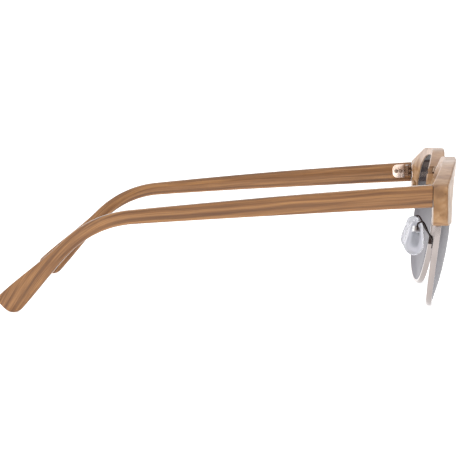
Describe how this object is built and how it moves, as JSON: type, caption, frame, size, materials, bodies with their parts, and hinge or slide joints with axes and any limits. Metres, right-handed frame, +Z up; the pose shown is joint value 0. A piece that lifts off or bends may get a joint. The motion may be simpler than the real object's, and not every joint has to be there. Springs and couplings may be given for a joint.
{
  "type": "browline sunglasses",
  "caption": "Open sunglasses with wood brow pieces over thin metal eyewires, round grey lenses, rocking nose pads and folding wood temples",
  "frame": {"origin": "middle of the footprint at table height, with the sunglasses open on their eyewires and temple tips", "axes": "+X to the wearer's left, -Y the way the wearer looks, +Z up"},
  "size_m": [0.144, 0.1528, 0.05],
  "materials": {
    "wood": "satin, straight brown grain",
    "metal": "polished, pale rose",
    "hinge": "bright, pale rose",
    "screws": "bright",
    "wire": "polished",
    "lens": "polished grey tint",
    "pad_core": "clear, hard",
    "silicone": "clear, soft sheen"
  },
  "bodies": {
    "front": {"bridge": "metal", "brow_left": "wood", "brow_right": "wood", "brow_screw_left": "metal", "brow_screw_right": "metal", "eyewire_left": "metal", "eyewire_right": "metal", "eyewire_screw_left": "metal", "eyewire_screw_right": "metal", "lens_left": "lens", "lens_right": "lens", "front_hinge_left": "hinge", "front_hinge_right": "hinge", "front_hinge_screws_left": "screws", "front_hinge_screws_right": "screws", "hinge_pin_left": "metal", "hinge_pin_right": "metal", "pad_arm_left": "wire", "pad_arm_right": "wire", "pad_box_left": "metal", "pad_box_right": "metal", "pad_screw_left": "metal", "pad_screw_right": "metal"},
    "temple_left": {"temple_hinge_left": "hinge", "temple_hinge_screws_left": "screws", "temple_left": "wood"},
    "temple_right": {"temple_hinge_right": "hinge", "temple_hinge_screws_right": "screws", "temple_right": "wood"},
    "pad_left": {"pad_core_left": "pad_core", "nose_pad_left": "silicone"},
    "pad_right": {"pad_core_right": "pad_core", "nose_pad_right": "silicone"}
  },
  "joints": [
    {"name": "fold_left", "type": "hinge", "parent": "front", "child": "temple_left", "pos_m": [0.06471, -0.06513, 0.0396], "axis": [0, 0.0545, 0.9985], "range_deg": [0, 88]},
    {"name": "fold_right", "type": "hinge", "parent": "front", "child": "temple_right", "pos_m": [-0.06471, -0.06513, 0.0396], "axis": [0, 0.0545, 0.9985], "range_deg": [-66, 0]},
    {"name": "rock_left", "type": "hinge", "parent": "front", "child": "pad_left", "pos_m": [0.0122, -0.06408, 0.0236], "axis": [0.304, 0.9303, 0.2054], "range_deg": [-8, 8]},
    {"name": "rock_right", "type": "hinge", "parent": "front", "child": "pad_right", "pos_m": [-0.0122, -0.06408, 0.0236], "axis": [-0.304, 0.9303, 0.2054], "range_deg": [-8, 8]}
  ]
}
